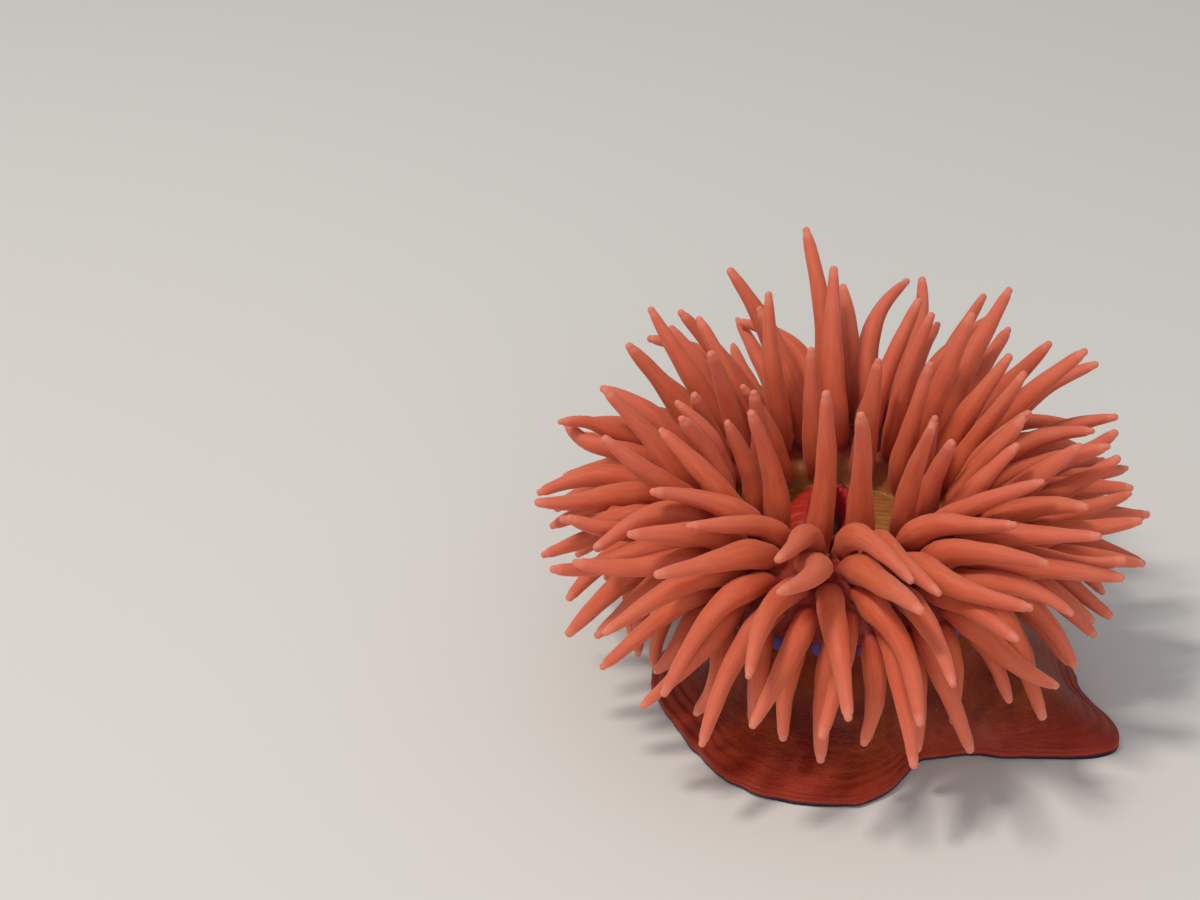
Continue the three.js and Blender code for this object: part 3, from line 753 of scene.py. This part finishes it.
# %% Make the disc and the mouth
DISC_MAP = (0.15, 0.194)
DISC_RADII = (6.5, 6.25, 5.9, 5.5, 5.1, 4.8, 4.6)
DISC_HEIGHTS = (14.84, 14.9, 14.96, 15.0, 15.03, 15.04, 15.08)
LIP_RADII = (4.45, 4.32, 4.18, 4.0, 3.78, 3.52, 3.28)
LIP_HEIGHTS = (15.2, 15.42, 15.68, 15.92, 16.12, 16.26, LIP_HEIGHT)
THROAT_RADII = (3.08, 2.94, 2.84, 2.74, 2.62, 2.46, 2.1)
THROAT_HEIGHTS = (16.2, 15.96, 15.5, 14.9, 14.2, 13.4, 12.8)
THROAT_FLOOR = 12.5
RIDGES, FOLDS = 48, 22
RIDGE_HEIGHT, FOLD_DEPTH = 0.03, 0.1
DISC_LAY = [1.5, 1.5, 0.5]


def mouth_row(radius, height, ridge, fold):
    outer = float(smooth_step(DISC_RADII[-1], 6.4, radius))
    inner = float(np.clip((MOUTH_RADIUS - radius) / (MOUTH_RADIUS - THROAT_RADIUS), 0, 1))
    shapes = zip(MOUTH_OVAL, CROWN_OVAL, THROAT_OVAL)
    oval = [lips + (crown - lips) * outer + (slot - lips) * inner for lips, crown, slot in shapes]
    uneven = np.sin(FOLDS * TURN + 0.8 * np.sin(3 * TURN)) + 0.5 * np.sin(2 * FOLDS * TURN + 1)
    place = in_crown(radius + fold * uneven, BEARINGS, height, oval)
    place[:, 0] += MOUTH_ASIDE * (1 - outer)
    place[:, 2] += ridge * np.cos(RIDGES * TURN) + 0.35 * fold * uneven
    return place


disc_rows = []  # radius, height, ridge, fold, and the marks lip and throat
for radius, height in zip(DISC_RADII, DISC_HEIGHTS):
    disc_rows.append((radius, height, RIDGE_HEIGHT, 0.0, 0.0, 0.0))
for n, (radius, height) in enumerate(zip(LIP_RADII, LIP_HEIGHTS)):
    lip = min(1, (n + 1) / 3)
    disc_rows.append((radius, height, 0.0, FOLD_DEPTH * lip, lip, 0.0))
for n, (radius, height) in enumerate(zip(THROAT_RADII, THROAT_HEIGHTS)):
    deep = (n + 1) / len(THROAT_RADII)
    disc_rows.append((radius, height, 0.0, FOLD_DEPTH * (1 - 0.5 * deep), 1.0, deep))
ends, rays = np.sin(TURN) ** 6, 0.5 - 0.5 * np.cos(RIDGES * TURN)
disc_rings = [round_lines[-1]]
for radius, height, ridge, fold, lip, deep in disc_rows:
    place = mouth_row(radius, height, ridge, fold)
    own = {"tone": ends if lip else rays, "lip": lip, "throat": deep, "lay": place * DISC_LAY}
    disc_rings.append(add_points(place, climb=1, oral=1, **own))
throat_floor = in_crown(0, 0, THROAT_FLOOR) + [MOUTH_ASIDE, 0, 0]
throat_pole = add_points([throat_floor], climb=1, oral=1, lip=1, throat=1)[0]
v = np.linspace(*DISC_MAP, len(disc_rings) + 1)
join_rings(disc_rings, v, 0, 1, "disc_skin")
close_ring(disc_rings[-1], throat_pole, v[-2], v[-1], 0, 1, "disc_skin")
print("disc and mouth rings", len(disc_rows))

# %% [markdown]
# ## Build the mesh
# The lists become one Blender mesh in metres, with smooth shading, an attribute for each mark and a map
# called OFBake that lays every tentacle out as a strip of its own. Joining many small objects would give the
# same picture, but not one skin.

# %% Build the skin
mesh = bpy.data.meshes.new("anemone_skin")
mesh.from_pydata((np.concatenate(points) * MM).tolist(), [], faces)
mesh.polygons.foreach_set("material_index", face_wears)
mesh.polygons.foreach_set("use_smooth", [True] * len(mesh.polygons))
mesh.uv_layers.new(name="OFBake").data.foreach_set("uv", np.concatenate(face_maps).ravel())
for name, size in MARKS.items():
    values = np.concatenate(marks[name])
    attribute = mesh.attributes.new(name, "FLOAT" if size == 1 else "FLOAT_VECTOR", "POINT")
    attribute.data.foreach_set("value" if size == 1 else "vector", values.ravel())
mesh.update()
skin = add_object("anemone_skin", mesh)
triangles = sum(len(face) - 2 for face in faces)
print("skin points", len(mesh.vertices), "triangles", triangles, "repaired", mesh.validate())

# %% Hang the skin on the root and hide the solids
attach(skin, "root")
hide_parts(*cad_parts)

# %% [markdown]
# ## Tools for the skin's colours
# A material is a small machine of nodes. Each helper adds a node, feeds it with numbers or with other nodes,
# and hands back the socket to go on with. Colours are named as they are picked on a screen, and turned into
# amounts of light. Longhand would do, but it is hard to read.

# %% Add and join shader nodes
def paint(red, green, blue):
    return (*Color((red / 255, green / 255, blue / 255)).from_srgb_to_scene_linear(), 1.0)


def feed(tree, socket, value):
    if isinstance(value, bpy.types.NodeSocket):
        tree.links.new(value, socket)
    else:
        socket.default_value = value


def add_node(tree, kind, given=None, **settings):
    node = tree.nodes.new("ShaderNode" + kind)
    for name, value in settings.items():
        setattr(node, name, value)
    for name, value in (given or {}).items():
        feed(tree, node.inputs[name], value)
    return node


def work_out(tree, operation, *values):
    node = add_node(tree, "Math", operation=operation)
    for socket, value in zip(node.inputs, values):
        feed(tree, socket, value)
    return node.outputs[0]


def times(tree, one, other):
    return work_out(tree, "MULTIPLY", one, other)


def spread_out(tree, value, low, high, first=0.0, last=1.0):
    """Turns the span low to high into the span first to last, with soft ends."""
    given = {"Value": value, "From Min": low, "From Max": high, "To Min": first, "To Max": last}
    return add_node(tree, "MapRange", given, interpolation_type="SMOOTHSTEP").outputs[0]


def blend_paint(tree, share, one, other):
    node = add_node(tree, "Mix", data_type="RGBA")
    for socket, value in zip((node.inputs[0], node.inputs[6], node.inputs[7]), (share, one, other)):
        feed(tree, socket, value)
    return node.outputs[2]


def lay_over(tree, colour, *layers):
    """Lays pigments over a colour. Each layer is a mask, its strength and the pigment."""
    for mask, strength, pigment in layers:
        colour = blend_paint(tree, times(tree, mask, strength), colour, pigment)
    return colour


def mark(tree, name):
    """One of the skin's marks."""
    node = add_node(tree, "Attribute", attribute_name=name)
    return node.outputs["Vector" if MARKS[name] == 3 else "Fac"]


print("screen red as light", [round(v, 3) for v in paint(200, 90, 60)[:3]])

# %% [markdown]
# ## Effects that all of the skin shares
# The whole animal is one wet, soft tissue, so the same effects come back in each of its three finishes:
# cloudy pigment under the surface, pigment drawn out into streaks where muscle runs lengthwise, and a fine
# grain of cells and wrinkles that breaks up the shine. Each one is made once, as a group with its own inputs.

# %% Start a group of nodes
def new_group(name, given, made):
    group = bpy.data.node_groups.new(name, "ShaderNodeTree")
    for socket, (kind, value) in given.items():
        made_socket = group.interface.new_socket(socket, in_out="INPUT", socket_type="NodeSocket" + kind)
        if value is not None:
            made_socket.default_value = value
    for socket, kind in made.items():
        group.interface.new_socket(socket, in_out="OUTPUT", socket_type="NodeSocket" + kind)
    return group, group.nodes.new("NodeGroupInput").outputs, group.nodes.new("NodeGroupOutput").inputs


def use_group(tree, group, **given):
    node = add_node(tree, "Group", node_tree=group)
    for name, value in given.items():
        feed(tree, node.inputs[name.replace("_", " ")], value)
    return node.outputs


def noise(tree, place, scale, detail=3.0, rough=0.55):
    given = {"Vector": place, "Scale": scale, "Detail": detail, "Roughness": rough}
    return add_node(tree, "TexNoise", given).outputs[0]


# %% Cloudy pigment
pigment_clouds, given, made = new_group(
    "pigment clouds",
    {"Place": ("Vector", None), "Size": ("Float", 4.0), "Contrast": ("Float", 1.0)},
    {"Clouds": "Float", "Flecks": "Float"},
)
tree = pigment_clouds
scale = work_out(tree, "DIVIDE", 1.0, given["Size"])
broad = noise(tree, given["Place"], scale, 4.0, 0.6)
apart = times(tree, work_out(tree, "SUBTRACT", broad, 0.5), given["Contrast"])
tree.links.new(work_out(tree, "ADD", times(tree, apart, 2.2), 0.5), made["Clouds"])
cell_scale = times(tree, scale, 5.0)
cells = add_node(tree, "TexVoronoi", {"Vector": given["Place"], "Scale": cell_scale})
near = spread_out(tree, cells.outputs["Distance"], 0.05, 0.2, 1.0, 0.0)
patches = noise(tree, given["Place"], times(tree, scale, 2.3), 1.0)
chosen = spread_out(tree, patches, 0.52, 0.62)
tree.links.new(times(tree, near, chosen), made["Flecks"])
print("pigment clouds nodes", len(tree.nodes))

# %% Lengthwise streaks
lengthwise_streaks, given, made = new_group(
    "lengthwise streaks", {"Place": ("Vector", None), "Fineness": ("Float", 1.0)}, {"Streaks": "Float"}
)
tree = lengthwise_streaks
drawn = noise(tree, given["Place"], given["Fineness"], 3.0, 0.6)
tree.links.new(spread_out(tree, drawn, 0.3, 0.7), made["Streaks"])
print("lengthwise streaks nodes", len(tree.nodes))

# %% Grain of the soft skin
soft_grain, given, made = new_group(
    "soft skin grain",
    {"Place": ("Vector", None), "Wrinkles": ("Float", 0.5), "Cells": ("Float", 0.5)},
    {"Height": "Float"},
)
tree = soft_grain
fine = noise(tree, given["Place"], 9.0, 3.0, 0.65)
wide = noise(tree, given["Place"], 1.6, 4.0, 0.6)
height = times(tree, work_out(tree, "SUBTRACT", fine, 0.5), given["Cells"])
folds = times(tree, work_out(tree, "SUBTRACT", wide, 0.5), given["Wrinkles"])
tree.links.new(work_out(tree, "ADD", height, folds), made["Height"])
print("soft grain nodes", len(tree.nodes))

# %% [markdown]
# ## Start each finish
# All three finishes are the same watery tissue: light goes a millimetre or two into it and comes out redder,
# and the surface is wet. What differs is the pigment, the grain and how strongly the wet film shines. So one
# helper sets what they share, and each finish then adds its own colours. A glossy paint alone would look like
# plastic, because no light would travel under the surface.

# %% Start a flesh material
FLESH_REACH = (1.0, 0.32, 0.18)  # how far red, green and blue light go into the flesh, against one another
# the first two colours below are painted shade, under the crown and at the tentacles' roots; the olive is the
# disc's own colour
UNDER_CROWN_SHADE, ROOT_SHADE_RED, DISC_OLIVE = paint(96, 16, 10), paint(138, 38, 22), paint(158, 98, 44)


def flesh(name, reach, inside, roughness, shine, film, film_roughness):
    """A material with soft flesh settings: its tree and its shader."""
    material = bpy.data.materials.new(name)
    material.use_nodes = True
    shader = material.node_tree.nodes["Principled BSDF"]
    shader.subsurface_method = "RANDOM_WALK"
    settings = {
        "Subsurface Weight": inside,
        "Subsurface Radius": FLESH_REACH,
        "Subsurface Scale": reach * MM,
        "Subsurface Anisotropy": 0.3,
        "IOR": shine,
        "Roughness": roughness,
        "Coat Weight": film,
        "Coat Roughness": film_roughness,
        "Coat IOR": 1.34,
    }
    for name, value in settings.items():
        shader.inputs[name].default_value = value
    mesh.materials.append(material)
    return material.node_tree, shader


def raise_grain(tree, shader, height, strength, depth):
    bump = add_node(tree, "Bump", {"Strength": strength, "Distance": depth * MM, "Height": height})
    tree.links.new(bump.outputs[0], shader.inputs["Normal"])


# %% [markdown]
# ## Finish of the foot and column
# The column is dark red-brown, with soft clouds of orange-brown where it is stretched thin and a few pale
# flecks. The foot's edge is a brighter red. Where it meets the ground runs a dark blue-black line: the
# species' thin blue line, widened and darkened into a painted shadow where the foot meets the floor. Under the
# crown the column turns a darker red, which is painted shade. The beads under the tentacles are blue-violet.
# Height and marks choose between these colours, because they follow the body's own shape. A painted picture
# would have to be laid over it by hand.

# %% Make the column's finish
tree, shader = flesh("column_skin", 0.8, 0.15, 0.42, 1.22, 0.12, 0.15)
place = mark(tree, "lay")
height = work_out(tree, "DIVIDE", add_node(tree, "SeparateXYZ", {"Vector": place}).outputs["Z"], BODY_LAY)
clouds = use_group(tree, pigment_clouds, Place=place, Size=2.6, Contrast=1.6)
fine_clouds = use_group(tree, pigment_clouds, Place=place, Size=0.5, Contrast=1.5)
near_foot, below_waist = spread_out(tree, height, 0.3, 0.8), spread_out(tree, height, 1.2, 4.0, 1.0, 0.0)
colour = lay_over(
    tree,
    blend_paint(tree, clouds["Clouds"], paint(98, 25, 12), paint(152, 66, 28)),
    (fine_clouds["Clouds"], 0.45, paint(112, 30, 15)),
    (times(tree, near_foot, below_waist), 0.6, paint(158, 46, 28)),
    (times(tree, mark(tree, "hem"), spread_out(tree, height, 0.3, 0.5)), 0.8, paint(186, 66, 44)),
    (clouds["Flecks"], 0.35, paint(190, 110, 60)),
    # painted shade: darker red under the crown and in the groove below the rim
    (spread_out(tree, height, 10.0, 13.5), 0.7, UNDER_CROWN_SHADE),  # under the crown
    # the species' blue line at the ground, darkened and widened into a painted shadow where the foot meets the
    # floor
    (spread_out(tree, height, 0.3, 0.62, 1.0, 0.0), 0.9, paint(24, 26, 48)),  # the line at the ground
    (mark(tree, "bead"), 1.0, paint(112, 96, 176)),
)
tree.links.new(colour, shader.inputs["Base Color"])
wetness = spread_out(tree, clouds["Clouds"], 0.0, 1.0, 0.34, 0.5)
tree.links.new(wetness, shader.inputs["Roughness"])
grain = use_group(tree, soft_grain, Place=place, Wrinkles=0.7, Cells=0.4)
flat_place = add_node(tree, "VectorMath", {0: place, 1: (0.45, 0.45, 3.2)}, operation="MULTIPLY").outputs[0]
most_at_foot = spread_out(tree, height, 0.8, 6.0, 1.6, 0.5)
folds = times(tree, noise(tree, flat_place, 1.1, 3.0, 0.6), most_at_foot)
raise_grain(tree, shader, work_out(tree, "ADD", grain["Height"], folds), 0.6, 0.3)
print("column nodes", len(tree.nodes))

# %% [markdown]
# ## Finish of the tentacles
# Salmon-red and matte. The shaft is orange-salmon, and the tip is paler and pinker, because its wall is thin
# and holds little pigment. Roots sit deep among their neighbours, and the darker red laid on them is painted
# shade; on the inner whorls the root takes the disc's olive instead. Each tentacle has a tone of its own.
# Faint streaks run lengthwise over the muscle. A little sheen gives the soft pale edge of thin tissue.

# %% Make the tentacles' finish
tree, shader = flesh("tentacle_skin", 1.6, 0.55, 0.6, 1.33, 0.04, 0.35)
place, along, tone = mark(tree, "lay"), mark(tree, "along"), mark(tree, "tone")
clear = spread_out(tree, along, 0.02, 0.12)  # away from the creased root
streaks = use_group(tree, lengthwise_streaks, Place=place, Fineness=1.0)
clouds = use_group(tree, pigment_clouds, Place=place, Size=2.6, Contrast=0.9)
root_shade_and_disc = blend_paint(tree, mark(tree, "oral"), ROOT_SHADE_RED, DISC_OLIVE)
colour = lay_over(
    tree,
    blend_paint(tree, tone, paint(195, 88, 51), paint(196, 91, 61)),
    (clouds["Clouds"], 0.35, paint(192, 80, 46)),
    (streaks["Streaks"], 0.28, paint(222, 128, 92)),
    (spread_out(tree, along, 0.35, 1.0), 0.4, paint(214, 122, 100)),  # thinner towards the tip
    (spread_out(tree, along, 0.93, 0.985), 0.35, paint(226, 150, 130)),  # the knob
    # painted shade: darker red towards the root, where the neighbours shade it
    (spread_out(tree, along, 0.0, 0.26, 1.0, 0.0), 0.7, paint(172, 56, 32)),
    # painted shade in the root's crease; on the inner whorls the disc's own olive instead
    (spread_out(tree, along, 0.0, 0.06, 1.0, 0.0), 0.85, root_shade_and_disc),
)
tree.links.new(colour, shader.inputs["Base Color"])
shader.inputs["Sheen Weight"].default_value = 0.12
shader.inputs["Sheen Roughness"].default_value = 0.5
shader.inputs["Sheen Tint"].default_value = paint(240, 190, 180)
grain = use_group(tree, soft_grain, Place=place, Wrinkles=0.8, Cells=0.4)
raise_grain(tree, shader, times(tree, grain["Height"], clear), 0.5, 0.11)
print("tentacle nodes", len(tree.nodes))

# %% [markdown]
# ## Finish of the disc, lips and throat
# The bare disc is olive-tan with fine rays that run to the mouth. The lips are a clear red, darker at the two
# ends of the slot, and the throat goes down through crimson into near-black, which is painted shade deep in
# the hole. The marks lip and throat, which rise from ring to ring, blend the three. The throat is duller than
# the wet disc, or it would mirror the sky.

# %% Make the disc's finish
tree, shader = flesh("disc_skin", 0.9, 0.3, 0.36, 1.33, 0.35, 0.12)
place = mark(tree, "lay")
clouds = use_group(tree, pigment_clouds, Place=place, Size=1.5, Contrast=1.0)
tone, throat = mark(tree, "tone"), mark(tree, "throat")
lips = lay_over(
    tree, paint(188, 50, 34), (clouds["Clouds"], 0.6, paint(146, 28, 22)), (tone, 1.0, paint(112, 8, 16))
)
colour = lay_over(
    tree,
    blend_paint(tree, clouds["Clouds"], paint(155, 92, 40), paint(178, 118, 62)),
    (tone, 0.3, paint(120, 54, 26)),
    (mark(tree, "lip"), 1.0, lips),
    (spread_out(tree, throat, 0.0, 0.4), 1.0, paint(124, 8, 16)),
    # painted shade: near-black deep in the throat
    (spread_out(tree, throat, 0.4, 0.9), 1.0, paint(52, 3, 8)),
)
tree.links.new(colour, shader.inputs["Base Color"])
tree.links.new(work_out(tree, "MULTIPLY_ADD", throat, 0.3, 0.36), shader.inputs["Roughness"])
tree.links.new(work_out(tree, "MULTIPLY_ADD", throat, -0.35, 0.35), shader.inputs["Coat Weight"])
grain = use_group(tree, soft_grain, Place=place, Wrinkles=0.6, Cells=0.6)
raise_grain(tree, shader, grain["Height"], 0.5, 0.12)
print("disc nodes", len(tree.nodes))

# %% [markdown]
# ## Floor and light
# A plain pale floor lets the colours speak. One soft light from above, a little to the left and in front,
# draws the shadows of the hanging tentacles on the column, as the sun does in a rock pool. A broad weaker one
# opens the shadows from the front, and a pale surrounding fills the rest. A sky could light the animal too,
# but two lamps keep the shadows where they are wanted.

# %% Make the floor
floor_mesh = bpy.data.meshes.new("floor")
half = 3.0
corners = [(-half, -half, 0), (half, -half, 0), (half, half, 0), (-half, half, 0)]
floor_mesh.from_pydata(corners, [], [(0, 1, 2, 3)])
add_object("floor", floor_mesh)
plain = bpy.data.materials.new("pale floor")
plain.use_nodes = True
shader = plain.node_tree.nodes["Principled BSDF"]
shader.inputs["Base Color"].default_value = paint(214, 208, 200)
shader.inputs["Roughness"].default_value = 0.8
floor_mesh.materials.append(plain)
print("floor", 2 * half, "m wide")

# %% Set the lights
def add_light(name, place, aim, size, power, colour):
    data = bpy.data.lights.new(name, "AREA")
    data.shape, data.size, data.energy, data.color = "DISK", size, power, colour
    light = add_object(name, data)
    light.location = place
    light.rotation_euler = (Vector(aim) - Vector(place)).to_track_quat("-Z", "Y").to_euler()


add_light("key light", (-0.2, -0.1, 0.46), (0, 0, 0.015), 0.09, 1.4, (1.0, 0.97, 0.92))
add_light("front light", (0.1, -0.5, 0.2), (0, 0, 0.012), 0.4, 0.85, (0.93, 0.96, 1.0))
world = bpy.data.worlds.new("pale surrounding")
bpy.context.scene.world = world
world.use_nodes = True
background = world.node_tree.nodes["Background"].inputs
background["Color"].default_value = (0.86, 0.92, 1.0, 1.0)
background["Strength"].default_value = 0.47
bpy.context.scene.view_settings.view_transform = "Standard"
